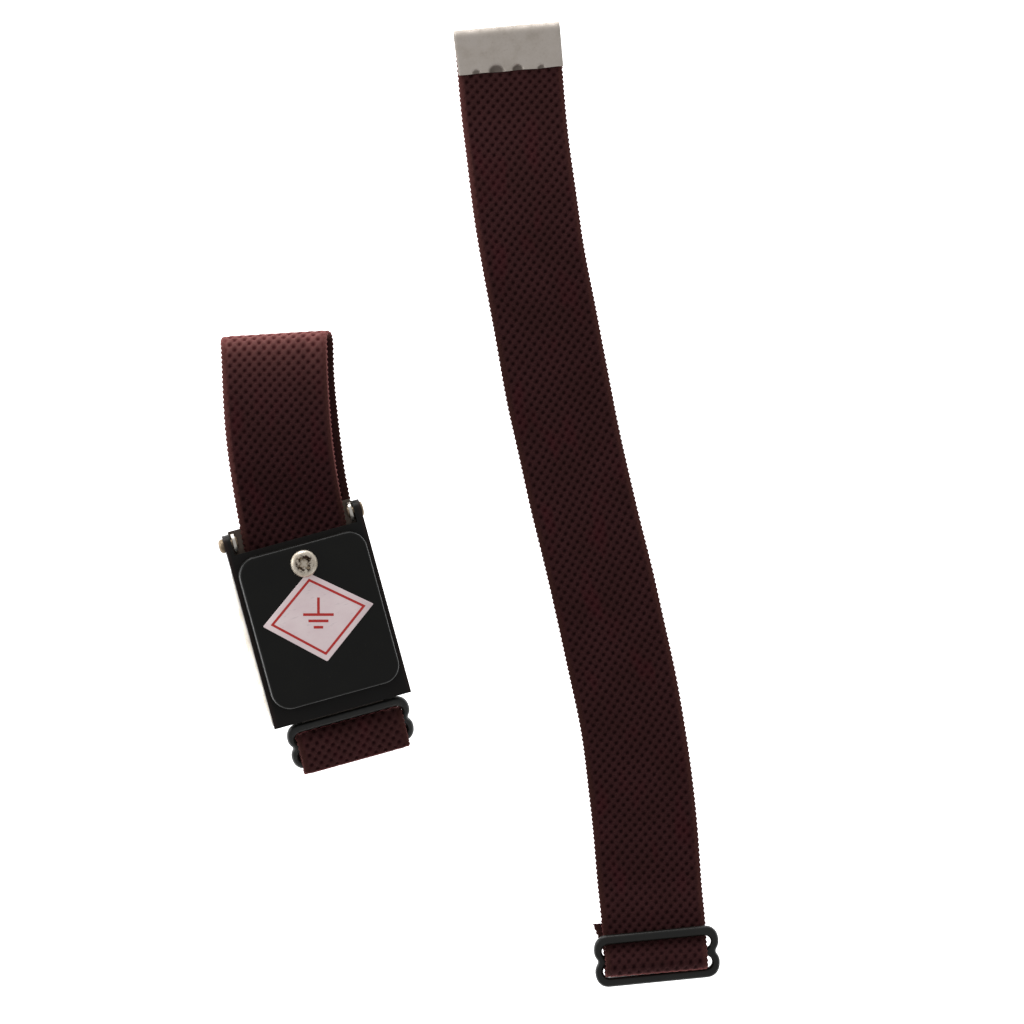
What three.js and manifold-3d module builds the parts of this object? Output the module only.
// A cordless ESD wrist strap laid flat: the wrist unit on the left, and its longer spare band on the right.
// Millimetres, +Z up. X runs along the lever's hinge line, +Y from the buckle towards the loop's far fold.
// The origin is under the middle of the buckle, on the surface that the strap lies on.

import * as THREE from 'three';
import { mergeVertices } from 'three/addons/utils/BufferGeometryUtils.js';
import Module from 'manifold-3d';

const wasm = await Module();
wasm.setup();

// ---------- Driving dimensions ----------

const GAP = 0.3; // between pieces that touch on the real strap
const SEGMENTS = 24; // facets round a full circle

// elastic band
const BAND_WIDTH = 20;
const BAND_THICK = 1.0;
const BAND_MID = BAND_THICK / 2;

// sliders, measured in their own plane
const SLIDER_WIDTH = 24.2;
const SLIDER_WAIST = 22.9;
const SLIDER_THICK = 1.5;
const BAR_WIDTH = 1.9; // the two outer bars
const MID_BAR_WIDTH = 1.3;
const BAR_SPACING = 8.6; // between the outer bars' centres
const SLIDER_LENGTH = BAR_SPACING + BAR_WIDTH;
const SLOT_WIDTH = 21.6;
const OUTER_WRAP = 1.7; // radius of the band's middle round an outer bar
const MID_WRAP = 1.5; // and round the middle bar

// wrist buckle
const HALF_LEVER = 13.5;
const LEVER_REAR = -17;
const LEVER_FRONT = 17;
const PLATE_BOTTOM = 9.9; // the lever's plate
const PLATE_TOP = 10.9;
const FLANGE_REAR_BOTTOM = 8.6; // the lever's side flanges, at their rear end
const FLANGE_BEND_Y = 13; // where the flanges' lower edges level out towards the ears
const LIP = { rear: 15.5, front: LEVER_FRONT, half: 10.4, clearance: 0.25 }; // presses the band on the frame
const SHEET = 0.8; // frame sheet thickness
const FRAME_BOTTOM = 5.9;
const FRAME_TOP = FRAME_BOTTOM + SHEET;
const BASE = { front: 21.6, halfFront: 12, rear: -16.4, half: 13.15, bulge: 0.75, widest: -1.5, left: 0.45 };
const COLLAR = { y: 20, half: 12.8 }; // the base plate reaches out under the ears, but not in front of them
const BULGE_FRONT = 13;
const LUG = { inner: 11.2, outer: 11.8, front: 21, rear: 17.3, rise: 1.4 }; // rise above the hinge line
const CURL = { inner: 1.25, outer: 1.85, half: 8 };

// hinge
const HINGE_Y = 19.25;
const HINGE_Z = 9;
const EAR_RADIUS = 1.9;
const EAR_THICK = 1.4;
const RIVET = { shank: 0.85, head: 1.35, peened: 1.15, peenedThick: 0.3 };
const HINGE_BORE = RIVET.shank + GAP;
const CLAMPED_MID = FRAME_TOP + 0.1 + BAND_MID; // middle of the band where the lever grips it

// cap
const CAP_BOTTOM = PLATE_TOP + 0.1;
const CAP_TOP = 15;
const CAP_WALL = 1.1;
const CAP_CORNER = 3.7;
const CAP_EDGE = 0.6;
const HALF_CAP = 12.6;
const CAP_REAR = -14.1;
const CAP_FRONT = 15.95;
const CEILING = CAP_TOP - CAP_WALL;
const LABEL = { corners: [[0.2, 10.3], [-10.7, 2.6], [-0.6, -7], [10.75, 1.25]], thick: 0.15, seat: 0.05 };

// electrical parts in the cap
const SCREW_Y = 12.1;
const SCREW_HOLE = 1.45;
const SCREW = { head: 2.6, shank: 1.2, end: 11.6, headHeight: 1.5 };
const CROSS = { half: 1.5, halfWidth: 0.4, depth: 0.7 }; // the screw's recess
const NUT = { bottom: 11.9, top: 13.2, radius: 2.4 };
const TERMINAL = { bottom: 13.35, top: 13.7, radius: 2.3, tab: 0.8, tabEnd: 8.2 };
const RESISTOR = { x: 5.2, y: 0.5, z: 12.4, radius: 1.15, length: 6.3, bead: 1.3, leadGap: 0.2 };
const LEAD = { radius: 0.3, straight: 1.5, bend: 2.9, drop: 0.4 }; // straight out of the resistor, then bent over
const EYELET_Y = -9.5;
const EYELET = { bore: 0.75, barrel: 1.1, foot: 1.7, flange: 1.9, sheet: 0.25, under: 0.25, over: 0.15 };
const EYELET_HOLE = 1.4;
const STAKE = { x: 10.2, rear: -10.8, front: 13, radius: 0.8, hole: 1.1, head: 1.35 };

// how the wrist slider hangs on the frame
const HOOK_Y = -18;
const WRIST_TILT = THREE.MathUtils.degToRad(33);
const OUTER_Z = BAND_MID + OUTER_WRAP;
const HOOK_Z = OUTER_Z + BAR_SPACING * Math.sin(WRIST_TILT);
const BAND_SPLIT = -18.3; // where the loop ends and the band end that turns with the slider begins
const WRIST_SLIDER_X = 0.55; // the slider hangs a little to the right in the curl
const BAND_END_STEP = 0.35; // and takes the band with it

// wrist loop
const LOOP_FOLD = 56.6;
const FOLD_RADIUS = 3.4;
const LOOP_SKEW = 1.65; // sideways step of the loop's back layer, just behind the fold
const LOOP_SKEW_MAX = 2;

// spare band
const SPARE_SLIDER = { x: 46.2, y: -79 };
const SPARE_LENGTH = 181.5; // from the middle bar to the far edge of the tip
const SPARE_FOLD = { y: -0.8, z: 2.3, radius: 1.8 }; // the band's loose fold round the middle bar
const SPARE_BAR_Z = 0.9; // middle of the free bar, which lies on the surface
const SPARE_TILT = Math.asin(0.267);
const FITTING_HEADING = THREE.MathUtils.degToRad(10); // the way the spare's slider and tip point
const TIP = { width: 20.2, length: 8.7, sheet: 0.4, cavity: 1.3, nose: 0.6, grip: 4 }; // grip: how far the band goes in
const SPARE_TAIL = 6.8; // where the tail ends under the band
const DOUBLED = { high: 8.6, flat: 14 }; // lying on its tail up to the first, down on the table from the second

// ---------- Solids ----------

/** The manifold solid of a closed three.js geometry. */
function solid(geometry) {
  const bare = new THREE.BufferGeometry();
  bare.setAttribute('position', geometry.getAttribute('position').clone());
  if (geometry.index) bare.setIndex(geometry.index.clone());
  const merged = mergeVertices(bare, 1e-5);
  return new wasm.Manifold(new wasm.Mesh({
    numProp: 3,
    vertProperties: Float32Array.from(merged.getAttribute('position').array),
    triVerts: Uint32Array.from(merged.index.array),
  }));
}

/** The three.js geometry of a manifold solid. */
function geometryOf(body) {
  const mesh = body.getMesh();
  const geometry = new THREE.BufferGeometry();
  geometry.setAttribute('position', new THREE.BufferAttribute(Float32Array.from(mesh.vertProperties), 3));
  geometry.setIndex(new THREE.BufferAttribute(Uint32Array.from(mesh.triVerts), 1));
  geometry.computeVertexNormals();
  return geometry;
}

function box(x0, x1, y0, y1, z0, z1) {
  const geometry = new THREE.BoxGeometry(x1 - x0, y1 - y0, z1 - z0);
  return geometry.translate((x0 + x1) / 2, (y0 + y1) / 2, (z0 + z1) / 2);
}

/** A polygon of [y, z] points, extruded along X from x0 to x1. */
function crossBar(points, x0, x1) {
  const shape = new THREE.Shape(points.map(([y, z]) => new THREE.Vector2(y, z)));
  const geometry = new THREE.ExtrudeGeometry(shape, { depth: x1 - x0, bevelEnabled: false });
  const axes = new THREE.Matrix4().makeBasis(
    new THREE.Vector3(0, 1, 0),
    new THREE.Vector3(0, 0, 1),
    new THREE.Vector3(1, 0, 0),
  );
  return geometry.applyMatrix4(axes).translate(x0, 0, 0);
}

/** A disc or rod along X. */
function rodAlongX(x0, x1, y, z, radius) {
  const geometry = new THREE.CylinderGeometry(radius, radius, x1 - x0, SEGMENTS);
  return geometry.rotateZ(Math.PI / 2).translate((x0 + x1) / 2, y, z);
}

/** A disc or post along Z. */
function post(x, y, z0, z1, radius, sides = SEGMENTS) {
  const geometry = new THREE.CylinderGeometry(radius, radius, z1 - z0, sides);
  return geometry.rotateX(Math.PI / 2).translate(x, y, (z0 + z1) / 2);
}

/** A turned piece round the vertical through (x, y), from a closed profile of [radius, z] points. */
function turned(x, y, profile) {
  const points = profile.map(([r, z]) => new THREE.Vector2(r, z));
  return new THREE.LatheGeometry(points, SEGMENTS).rotateX(Math.PI / 2).translate(x, y, 0);
}

/** A rectangle with round corners, in the XY plane. */
function roundedRectangle(x0, x1, y0, y1, radius) {
  const shape = new THREE.Shape();
  shape.absarc(x1 - radius, y0 + radius, radius, -Math.PI / 2, 0);
  shape.absarc(x1 - radius, y1 - radius, radius, 0, Math.PI / 2);
  shape.absarc(x0 + radius, y1 - radius, radius, Math.PI / 2, Math.PI);
  shape.absarc(x0 + radius, y0 + radius, radius, Math.PI, Math.PI * 1.5);
  return shape;
}

// ---------- The band's path and lie ----------

/**
 * The path of a thread led round wheels, as [y, z] points. A wheel is { y, z, radius, turn }: turn 1 passes it
 * counter-clockwise, -1 clockwise, and a stop with no radius is a plain corner.
 */
function threadPath(stops) {
  const wheels = stops.map((stop) => ({ radius: 0, turn: 1, ...stop }));
  const legs = [];
  for (let i = 0; i + 1 < wheels.length; i += 1) {
    const [a, b] = [wheels[i], wheels[i + 1]];
    const offset = b.turn * b.radius - a.turn * a.radius;
    const distance = Math.hypot(b.y - a.y, b.z - a.z);
    const angle = Math.atan2(b.z - a.z, b.y - a.y)
      - Math.atan2(offset, Math.sqrt(distance ** 2 - offset ** 2));
    legs.push(angle);
  }
  const on = (wheel, heading) => [
    wheel.y + wheel.turn * wheel.radius * Math.sin(heading),
    wheel.z - wheel.turn * wheel.radius * Math.cos(heading),
  ];
  const path = [[wheels[0].y, wheels[0].z]];
  for (let i = 1; i + 1 < wheels.length; i += 1) {
    const wheel = wheels[i];
    let sweep = (legs[i] - legs[i - 1]) * wheel.turn;
    sweep = wheel.radius ? ((sweep % (2 * Math.PI)) + 2 * Math.PI) % (2 * Math.PI) : 0;
    const steps = Math.ceil(sweep / 0.35);
    for (let k = 0; k <= steps; k += 1) {
      path.push(on(wheel, legs[i - 1] + (wheel.turn * sweep * k) / Math.max(steps, 1)));
    }
  }
  const last = wheels[wheels.length - 1];
  path.push([last.y, last.z]);
  return divided(path, 4);
}

/** The same path with no step longer than the given length, so that it can be bent sideways. */
function divided(path, longest) {
  const result = [path[0]];
  for (let i = 1; i < path.length; i += 1) {
    const [[y0, z0], [y1, z1]] = [path[i - 1], path[i]];
    const parts = Math.ceil(Math.hypot(y1 - y0, z1 - z0) / longest);
    for (let k = 1; k <= parts; k += 1) {
      result.push([y0 + ((y1 - y0) * k) / parts, z0 + ((z1 - z0) * k) / parts]);
    }
  }
  return result;
}

/** Follows a heading, in radians clockwise from +Y, along a line on the surface from a starting point. */
function layAlong(start, startX, startY, heading, end) {
  const step = 0.5;
  const points = [];
  let [x, y] = [startX, startY];
  for (let s = start; s <= end + step; s += step) {
    points.push([x, y]);
    const middle = heading(s + step / 2);
    x += step * Math.sin(middle);
    y += step * Math.cos(middle);
  }
  return (s, across) => {
    const place = (s - start) / step;
    const i = Math.min(Math.max(Math.floor(place), 0), points.length - 2);
    const [a, b] = [points[i], points[i + 1]];
    const t = place - i;
    const angle = heading(s);
    return [
      a[0] + (b[0] - a[0]) * t + across * Math.cos(angle),
      a[1] + (b[1] - a[1]) * t - across * Math.sin(angle),
    ];
  };
}

const smooth = (t) => {
  const c = Math.min(Math.max(t, 0), 1);
  return c * c * (3 - 2 * c);
};

/** Heading of the wrist loop: straight in the buckle, then curving to the right. */
function loopHeading(s) {
  const [straight, entry, bent] = [10, 16, 50];
  const [first, final] = [2, 14].map(THREE.MathUtils.degToRad);
  if (s < entry) return first * smooth((s - straight) / (entry - straight));
  return first + (final - first) * Math.min((s - entry) / (bent - entry), 1);
}

/** Sideways step of the loop at a height z: the back layer lies a little to the right of the front one. */
function loopSkew(s, z) {
  const back = 1 - smooth(z / (2 * FOLD_RADIUS));
  const behind = smooth((LOOP_FOLD - FOLD_RADIUS - s) / 22);
  const home = smooth((s - BAND_SPLIT) / 38);
  const skew = LOOP_SKEW + (LOOP_SKEW_MAX - LOOP_SKEW) * behind;
  return back * (BAND_END_STEP + (skew - BAND_END_STEP) * home);
}

/** Heading of the spare band: a slow S, straightest near its middle and straight again at both ends. */
function spareHeading(s) {
  const middle = 85;
  const [least, swing] = [1.8, 9].map(THREE.MathUtils.degToRad);
  const [reach, power] = s < middle ? [63, 2] : [92, 1.3];
  return least + swing * Math.min(Math.abs(s - middle) / reach, 1) ** power;
}

const layLoop = layAlong(-30, 0, -30, loopHeading, LOOP_FOLD + 6);
const spareLead = 8;
const laySpare = layAlong(
  -spareLead,
  SPARE_SLIDER.x - spareLead * Math.sin(spareHeading(0)),
  SPARE_SLIDER.y - spareLead * Math.cos(spareHeading(0)),
  spareHeading,
  SPARE_LENGTH + 2,
);

/** A strip of band that follows a path of [y, z] points, laid along a line on the surface. */
function bandGeometry(path, lay, skew = () => 0) {
  const steps = path.length - 1;
  const geometry = new THREE.BoxGeometry(BAND_WIDTH, BAND_THICK, steps, 1, 1, steps).translate(0, 0, steps / 2);
  const position = geometry.getAttribute('position');
  for (let k = 0; k < position.count; k += 1) {
    const i = Math.round(position.getZ(k));
    const [y0, z0] = path[Math.max(i - 1, 0)];
    const [y1, z1] = path[Math.min(i + 1, steps)];
    const length = Math.hypot(y1 - y0, z1 - z0);
    const s = path[i][0] + (position.getY(k) * (z1 - z0)) / length;
    const z = path[i][1] - (position.getY(k) * (y1 - y0)) / length;
    const [x, y] = lay(s, position.getX(k) + skew(...path[i]));
    position.setXYZ(k, x, y, z);
  }
  return geometryOf(solid(geometry));
}

// ---------- Pieces ----------

const COLOUR = {
  band: [0x3a1c1f, 0.95, 0],
  nickel: [0xb3aca4, 0.35, 1],
  black: [0x232320, 0.5, 0.3],
  plastic: [0x1f1f1d, 0.45, 0],
  label: [0xe6dfe2, 0.6, 0],
  copper: [0xc9b38a, 0.35, 1],
  resistor: [0x9db7c4, 0.5, 0],
};

function piece(name, body, look) {
  const geometry = body.isBufferGeometry ? geometryOf(solid(body)) : geometryOf(body);
  const [color, roughness, metalness] = COLOUR[look];
  const mesh = new THREE.Mesh(geometry, new THREE.MeshStandardMaterial({ color, roughness, metalness }));
  mesh.name = name;
  return mesh;
}

/** The frame's base plate: narrow in front, with bulging sides, and a little to the left under the lever. */
function basePlate() {
  const steps = 8;
  const left = [[-BASE.halfFront, BASE.front], [-COLLAR.half, COLLAR.y]];
  const right = [[BASE.halfFront, BASE.front], [COLLAR.half, COLLAR.y]];
  for (let k = 0; k <= steps; k += 1) {
    const y = BULGE_FRONT + ((BASE.rear - BULGE_FRONT) * k) / steps;
    const half = BASE.half + BASE.bulge * (1 - ((y - BASE.widest) / (BULGE_FRONT - BASE.widest)) ** 2);
    left.push([-half - BASE.left, y]);
    right.push([half - BASE.left, y]);
  }
  const outline = new THREE.Shape([...left, ...right.reverse()].map(([x, y]) => new THREE.Vector2(x, y)));
  const sheet = { depth: SHEET, bevelEnabled: false };
  return solid(new THREE.ExtrudeGeometry(outline, sheet).translate(0, 0, FRAME_BOTTOM));
}

/** The nickel frame: base plate, two lugs for the hinge, and a curl at the rear that holds the slider. */
function buckleFrame() {
  const lugOutline = [[LUG.front, FRAME_BOTTOM], [LUG.front, HINGE_Z]];
  const steps = 8;
  for (let k = 1; k < steps; k += 1) {
    const angle = (Math.PI * k) / steps;
    const middle = (LUG.front + LUG.rear) / 2;
    const reach = (LUG.front - LUG.rear) / 2;
    lugOutline.push([middle + reach * Math.cos(angle), HINGE_Z + LUG.rise * Math.sin(angle)]);
  }
  lugOutline.push([LUG.rear, HINGE_Z], [LUG.rear, FRAME_BOTTOM]);
  let frame = basePlate();
  for (const [x0, x1] of [[-LUG.outer, -LUG.inner], [LUG.inner, LUG.outer]]) {
    frame = frame
      .add(solid(crossBar(lugOutline, x0, x1)))
      .subtract(solid(rodAlongX(x0 - 1, x1 + 1, HINGE_Y, HINGE_Z, HINGE_BORE)));
  }
  const [from, to] = [60, -122].map(THREE.MathUtils.degToRad);
  const arc = (radius) => Array.from({ length: 13 }, (_, k) => {
    const angle = from + ((to - from) * k) / 12;
    return [HOOK_Y + radius * Math.cos(angle), HOOK_Z + radius * Math.sin(angle)];
  });
  const curl = crossBar([...arc(CURL.outer), ...arc(CURL.inner).reverse()], -CURL.half, CURL.half);
  const seat = rodAlongX(-CURL.half - 1, CURL.half + 1, HOOK_Y, HOOK_Z, CURL.inner);
  return frame.subtract(solid(seat)).add(solid(curl));
}

/** A stub rivet through ear and lug, with a domed head outside and a peened end inside. */
function hingeRivet(side, headThick) {
  const shankIn = LUG.inner - GAP / 2;
  const shankOut = HALF_LEVER + GAP / 2;
  const rod = (a, b, radius) => {
    const [x0, x1] = side < 0 ? [-b, -a] : [a, b];
    return solid(rodAlongX(x0, x1, HINGE_Y, HINGE_Z, radius));
  };
  return rod(shankIn - RIVET.peenedThick / 2, shankOut + headThick / 2, RIVET.shank)
    .add(rod(shankOut, shankOut + headThick * 0.6, RIVET.head))
    .add(rod(shankOut, shankOut + headThick, RIVET.head * 0.75))
    .add(rod(shankIn - RIVET.peenedThick, shankIn, RIVET.peened));
}

/** The black lever: a plate with a bent gripping lip and two flanges that end in the hinge ears. */
function leverPlate() {
  const earBottom = HINGE_Z - EAR_RADIUS;
  const flange = [
    [LEVER_REAR, PLATE_TOP], [LEVER_REAR, FLANGE_REAR_BOTTOM], [FLANGE_BEND_Y, earBottom], [HINGE_Y, earBottom],
  ];
  for (let k = 1; k <= 9; k += 1) {
    const angle = -Math.PI / 2 + (Math.PI * k) / 10;
    flange.push([HINGE_Y + EAR_RADIUS * Math.cos(angle), HINGE_Z + EAR_RADIUS * Math.sin(angle)]);
  }
  flange.push([HINGE_Y, PLATE_TOP]);
  const inner = HALF_LEVER - EAR_THICK;
  const root = PLATE_BOTTOM + 0.2;
  const edge = CLAMPED_MID + BAND_MID + LIP.clearance;
  const lip = [[LIP.rear, root], [LIP.rear + 0.5, edge], [LIP.front - 0.4, edge], [LIP.front, root]];
  let lever = solid(box(-HALF_LEVER, HALF_LEVER, LEVER_REAR, LEVER_FRONT, PLATE_BOTTOM, PLATE_TOP))
    .add(solid(crossBar(flange, -HALF_LEVER, -inner)))
    .add(solid(crossBar(flange, inner, HALF_LEVER)))
    .add(solid(crossBar(lip, -LIP.half, LIP.half)))
    .subtract(solid(rodAlongX(-HALF_LEVER - 1, HALF_LEVER + 1, HINGE_Y, HINGE_Z, HINGE_BORE)))
    .subtract(solid(post(RESISTOR.x, EYELET_Y, PLATE_BOTTOM - 1, PLATE_TOP + 1, EYELET_HOLE)));
  for (const [x, y] of stakePlaces()) {
    lever = lever.subtract(solid(post(x, y, PLATE_BOTTOM - 1, PLATE_TOP + 1, STAKE.hole, 12)));
  }
  return lever;
}

/** Where the cap's four stakes go through the lever. */
function stakePlaces() {
  return [-STAKE.x, STAKE.x].flatMap((x) => [[x, STAKE.rear], [x, STAKE.front]]);
}

/** The raised plastic cap: a hollow shell with a screw hole and four heat-staked posts. */
function capShell() {
  const inset = CAP_EDGE;
  const outline = roundedRectangle(
    -HALF_CAP + inset, HALF_CAP - inset, CAP_REAR + inset, CAP_FRONT - inset, CAP_CORNER - inset,
  );
  const spare = 5; // cut off below the cap, or opened below its cavity
  const outer = new THREE.ExtrudeGeometry(outline, {
    depth: spare, bevelThickness: CAP_EDGE, bevelSize: CAP_EDGE, bevelSegments: 2, curveSegments: 5,
  }).translate(0, 0, CAP_TOP - CAP_EDGE - spare);
  const cavity = new THREE.ExtrudeGeometry(
    roundedRectangle(
      -HALF_CAP + CAP_WALL, HALF_CAP - CAP_WALL, CAP_REAR + CAP_WALL, CAP_FRONT - CAP_WALL, CAP_CORNER - CAP_WALL,
    ),
    { depth: CEILING - CAP_BOTTOM + spare, bevelEnabled: false, curveSegments: 5 },
  ).translate(0, 0, CAP_BOTTOM - spare);
  let cap = solid(outer)
    .subtract(solid(box(-20, 20, -20, 20, CAP_BOTTOM - 2 * spare, CAP_BOTTOM)))
    .subtract(solid(cavity))
    .subtract(solid(post(0, SCREW_Y, CEILING - 1, CAP_TOP + 1, SCREW_HOLE)));
  for (const [x, y] of stakePlaces()) {
    cap = cap
      .add(solid(post(x, y, PLATE_BOTTOM - 0.5, CEILING + 0.2, STAKE.radius, 12)))
      .add(solid(post(x, y, PLATE_BOTTOM - 0.7, PLATE_BOTTOM - 0.2, STAKE.head, 12)));
  }
  return cap;
}

/** Pan-head contact screw with a cross recess. */
function contactScrew() {
  const { head, shank, end } = SCREW;
  const seat = CAP_TOP + GAP;
  const top = seat + SCREW.headHeight;
  const profile = [
    [0, end], [shank - 0.2, end], [shank, end + 0.2], [shank, seat], [head, seat],
    [head, top - 0.9], [head - 0.3, top - 0.4], [head - 1, top - 0.05], [0, top],
  ];
  const { half, halfWidth, depth } = CROSS;
  const [low, high] = [top - depth, top + 1];
  return solid(turned(0, SCREW_Y, profile))
    .subtract(solid(box(-half, half, SCREW_Y - halfWidth, SCREW_Y + halfWidth, low, high)))
    .subtract(solid(box(-halfWidth, halfWidth, SCREW_Y - half, SCREW_Y + half, low, high)));
}

function contactNut() {
  return solid(post(0, SCREW_Y, NUT.bottom, NUT.top, NUT.radius, 6))
    .subtract(solid(post(0, SCREW_Y, NUT.bottom - 1, NUT.top + 1, SCREW_HOLE)));
}

/** Ring terminal under the cap's top, with a tab for the resistor's lead. */
function ringTerminal() {
  const { bottom, top, radius, tab, tabEnd } = TERMINAL;
  return solid(post(0, SCREW_Y, bottom, top, radius))
    .add(solid(box(-tab, tab, tabEnd, SCREW_Y - 2, bottom, top)))
    .subtract(solid(post(0, SCREW_Y, bottom - 1, top + 1, SCREW_HOLE)));
}

function resistorBody() {
  const { x, y, z, radius, length, bead } = RESISTOR;
  const profile = [
    [0, -length / 2], [radius * 0.7, -length / 2], [radius, -length / 2 + 0.3],
    [radius, -length / 2 + bead], [radius * 0.86, -length / 2 + bead + 0.3],
    [radius * 0.86, length / 2 - bead - 0.3], [radius, length / 2 - bead],
    [radius, length / 2 - 0.3], [radius * 0.7, length / 2], [0, length / 2],
  ].map(([r, h]) => new THREE.Vector2(r, h));
  return new THREE.LatheGeometry(profile, 16).translate(x, y, z);
}

/** A round wire through the given points. */
function wire(points) {
  const route = new THREE.CatmullRomCurve3(points.map((p) => new THREE.Vector3(...p)));
  const section = new THREE.Shape();
  section.absarc(0, 0, LEAD.radius, 0, 2 * Math.PI);
  return new THREE.ExtrudeGeometry(section, { extrudePath: route, steps: 14, curveSegments: 4 });
}

function leadToScrew() {
  const { x, y, z, length } = RESISTOR;
  const start = y + length / 2 + RESISTOR.leadGap;
  const end = [TERMINAL.tab + 2 * LEAD.radius, TERMINAL.tabEnd, TERMINAL.bottom];
  const bend = [(x + end[0]) / 2, start + LEAD.bend, z + LEAD.drop];
  return wire([[x, start, z], [x, start + LEAD.straight, z], bend, end]);
}

function leadToLever() {
  const { x, y, z, length } = RESISTOR;
  const start = y - length / 2 - RESISTOR.leadGap;
  const end = [x, EYELET_Y + EYELET_HOLE, PLATE_TOP + EYELET.over + EYELET.sheet + 2 * LEAD.radius];
  const bend = [x, start - LEAD.bend, z - LEAD.drop];
  return wire([[x, start, z], [x, start - LEAD.straight, z], bend, end]);
}

/** Rolled eyelet that joins the second lead to the lever. */
function leverEyelet() {
  const { bore, barrel, foot, flange, sheet } = EYELET;
  const under = PLATE_BOTTOM - EYELET.under;
  const over = PLATE_TOP + EYELET.over;
  return turned(RESISTOR.x, EYELET_Y, [
    [bore, under - sheet], [foot, under - sheet], [foot, under], [barrel, under], [barrel, over],
    [flange, over], [flange, over + sheet], [bore, over + sheet], [bore, under - sheet],
  ]);
}

/** Diamond label on the cap. */
function capLabel() {
  const shape = new THREE.Shape(LABEL.corners.map(([x, y]) => new THREE.Vector2(x, y)));
  return new THREE.ExtrudeGeometry(shape, { depth: LABEL.thick, bevelEnabled: false })
    .translate(0, 0, CAP_TOP + LABEL.seat);
}

/** A three-bar slider with scalloped sides, flat in its own XY plane and centred on its middle bar. */
function sliderGeometry() {
  const bevel = 0.4;
  const [halfWidth, waist] = [SLIDER_WIDTH / 2 - bevel, SLIDER_WAIST / 2 - bevel];
  const half = SLIDER_LENGTH / 2 - bevel;
  const lobe = 2.15;
  const corner = 9.4;
  const shape = new THREE.Shape();
  shape.moveTo(-corner, half);
  for (const side of [1, -1]) {
    shape.lineTo(side * corner, side * half);
    shape.bezierCurveTo(
      side * (corner + 1.5), side * half, side * halfWidth, side * (lobe + 1.3), side * halfWidth, side * lobe,
    );
    shape.bezierCurveTo(side * halfWidth, side * (lobe - 1.1), side * waist, side * 0.9, side * waist, 0);
    shape.bezierCurveTo(side * waist, side * -0.9, side * halfWidth, side * (1.1 - lobe), side * halfWidth, side * -lobe);
    shape.bezierCurveTo(
      side * halfWidth, side * (-lobe - 1.3), side * (corner + 1.5), side * -half, side * corner, side * -half,
    );
  }
  const slotNear = MID_BAR_WIDTH / 2 - bevel;
  const slotFar = BAR_SPACING / 2 - BAR_WIDTH / 2;
  for (const side of [1, -1]) {
    const [low, high] = [slotNear, slotFar + bevel].map((y) => y * side).sort((a, b) => a - b);
    shape.holes.push(roundedRectangle(-SLOT_WIDTH / 2 - bevel, SLOT_WIDTH / 2 + bevel, low, high, 1.2));
  }
  return new THREE.ExtrudeGeometry(shape, {
    depth: SLIDER_THICK - 2 * bevel, bevelThickness: bevel, bevelSize: bevel, bevelSegments: 2, curveSegments: 4,
  }).translate(0, 0, -SLIDER_THICK / 2 + bevel);
}

/** Folded sheet tip over the end of a band, closed at +Y, with its middle plane at z = 0 and its mouth at y = 0. */
function tipGeometry() {
  const half = TIP.cavity / 2 + TIP.sheet;
  const inner = TIP.cavity / 2;
  const { length, sheet, nose } = TIP;
  const outline = [
    [0, half], [0, inner], [length - sheet, inner], [length - sheet, -inner], [0, -inner], [0, -half],
    [length - nose, -half], [length, -half + nose], [length, half - nose], [length - nose, half],
  ];
  return crossBar(outline.reverse(), -TIP.width / 2, TIP.width / 2);
}

// ---------- Assembly ----------

const group = new THREE.Group();

function addWristUnit() {
  group.add(piece('buckle_frame', buckleFrame(), 'nickel'));
  group.add(piece('hinge_rivet_left', hingeRivet(-1, 1), 'copper'));
  group.add(piece('hinge_rivet_right', hingeRivet(1, 0.45), 'copper'));
  group.add(piece('lever_plate', leverPlate(), 'black'));
  group.add(piece('cap_shell', capShell(), 'plastic'));
  group.add(piece('cap_label', capLabel(), 'label'));
  group.add(piece('contact_screw', contactScrew(), 'nickel'));
  group.add(piece('contact_nut', contactNut(), 'nickel'));
  group.add(piece('ring_terminal', ringTerminal(), 'copper'));
  group.add(piece('resistor_body', resistorBody(), 'resistor'));
  group.add(piece('resistor_lead_screw', leadToScrew(), 'nickel'));
  group.add(piece('resistor_lead_lever', leadToLever(), 'nickel'));
  group.add(piece('lever_eyelet', leverEyelet(), 'copper'));
}

function addWristBand() {
  const [tipMouth, tipMid] = [-1.5, 8];
  const [levelEnd, clampStart] = [1, 11];
  const loop = threadPath([
    { y: tipMouth - TIP.grip, z: tipMid },
    { y: levelEnd, z: tipMid },
    { y: clampStart, z: CLAMPED_MID },
    { y: LOOP_FOLD - FOLD_RADIUS - BAND_MID, z: BAND_MID + FOLD_RADIUS, radius: FOLD_RADIUS, turn: -1 },
    { y: BAND_SPLIT, z: BAND_MID },
  ]);
  group.add(piece('wrist_band', bandGeometry(loop, layLoop, loopSkew), 'band'));
  const tip = piece('wrist_band_tip', tipGeometry(), 'nickel');
  tip.position.set(0, tipMouth, tipMid);
  tip.rotation.z = Math.PI;
  group.add(tip);
}

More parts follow.
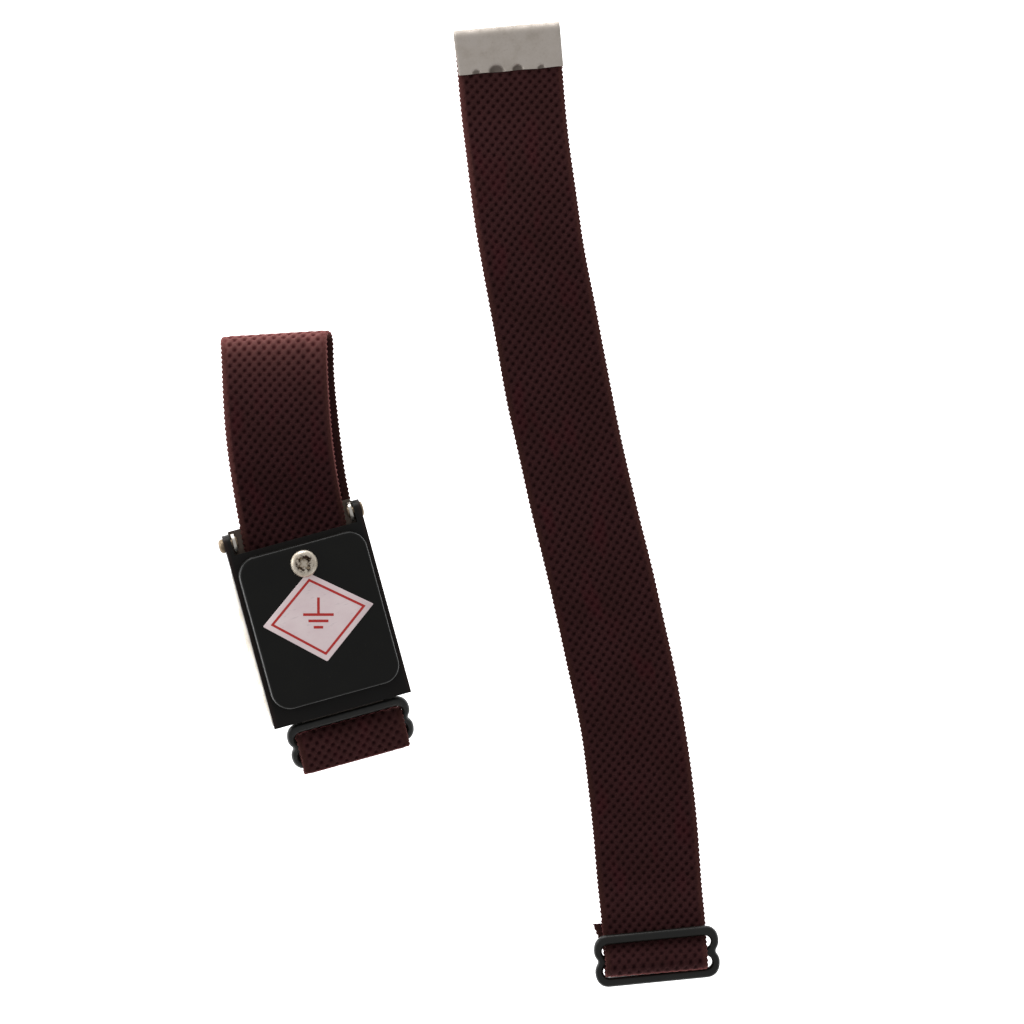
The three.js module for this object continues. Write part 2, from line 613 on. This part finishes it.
/** The wrist slider, hooked in the frame's curl, and the band end threaded on it. */
function addWristSlider() {
  const half = BAR_SPACING / 2;
  const outer = { y: HOOK_Y - BAR_SPACING * Math.cos(WRIST_TILT), z: OUTER_Z };
  const middle = { y: (HOOK_Y + outer.y) / 2, z: (HOOK_Z + outer.z) / 2 };
  const slider = piece('wrist_slider', sliderGeometry(), 'black');
  const turn = new THREE.Group();
  turn.position.set(0, HOOK_Y, HOOK_Z);
  turn.rotation.x = WRIST_TILT;
  slider.position.set(WRIST_SLIDER_X, -half, 0);
  turn.add(slider);
  group.add(turn);
  const tailRadius = OUTER_WRAP + BAND_THICK + 0.1;
  const pastBar = 0.8;
  const tailHeading = Math.PI + WRIST_TILT - Math.asin((tailRadius - MID_WRAP) / half);
  const path = threadPath([
    { y: BAND_SPLIT - GAP, z: BAND_MID },
    { ...outer, radius: OUTER_WRAP, turn: -1 },
    { ...middle, radius: MID_WRAP, turn: 1 },
    {
      y: outer.y + tailRadius * Math.sin(tailHeading) + pastBar * Math.cos(tailHeading),
      z: outer.z - tailRadius * Math.cos(tailHeading) + pastBar * Math.sin(tailHeading),
    },
  ]);
  group.add(piece('wrist_band_end', bandGeometry(path, layLoop, () => BAND_END_STEP), 'band'));
}

/** The spare band with its tip and slider, lying beside the wrist unit. */
function addSpare() {
  const half = BAR_SPACING / 2;
  const middleZ = SPARE_BAR_Z + half * Math.sin(SPARE_TILT);
  const top = { y: half * Math.cos(SPARE_TILT), z: SPARE_BAR_Z + BAR_SPACING * Math.sin(SPARE_TILT) };
  const tipMid = TIP.cavity / 2 + TIP.sheet;
  const mouth = SPARE_LENGTH - TIP.length;
  const doubled = BAND_MID + BAND_THICK + 0.06; // height of the band where it lies on its own tail
  const foldStart = 2;
  const path = threadPath([
    { y: SPARE_TAIL, z: BAND_MID },
    { y: foldStart, z: BAND_MID },
    { ...SPARE_FOLD, turn: -1 },
    { ...top, radius: top.z - doubled, turn: 1 },
    { y: DOUBLED.high, z: doubled },
    { y: DOUBLED.flat, z: BAND_MID },
    { y: mouth - 8, z: BAND_MID },
    { y: mouth - 1, z: tipMid },
    { y: mouth + TIP.grip, z: tipMid },
  ]);
  group.add(piece('spare_band', bandGeometry(path, laySpare), 'band'));

  const slider = piece('spare_slider', sliderGeometry(), 'black');
  const sliderSeat = new THREE.Group();
  sliderSeat.position.set(SPARE_SLIDER.x, SPARE_SLIDER.y, middleZ);
  sliderSeat.rotation.set(SPARE_TILT, 0, -FITTING_HEADING, 'ZXY');
  sliderSeat.add(slider);
  group.add(sliderSeat);

  const tip = piece('spare_band_tip', tipGeometry(), 'nickel');
  const tipAt = (mouth + SPARE_LENGTH) / 2;
  const [x, y] = laySpare(tipAt, 0);
  const halfTip = TIP.length / 2;
  tip.position.set(x - Math.sin(FITTING_HEADING) * halfTip, y - Math.cos(FITTING_HEADING) * halfTip, tipMid);
  tip.rotation.z = -FITTING_HEADING;
  group.add(tip);
}

addWristUnit();
addWristBand();
addWristSlider();
addSpare();

export default group;
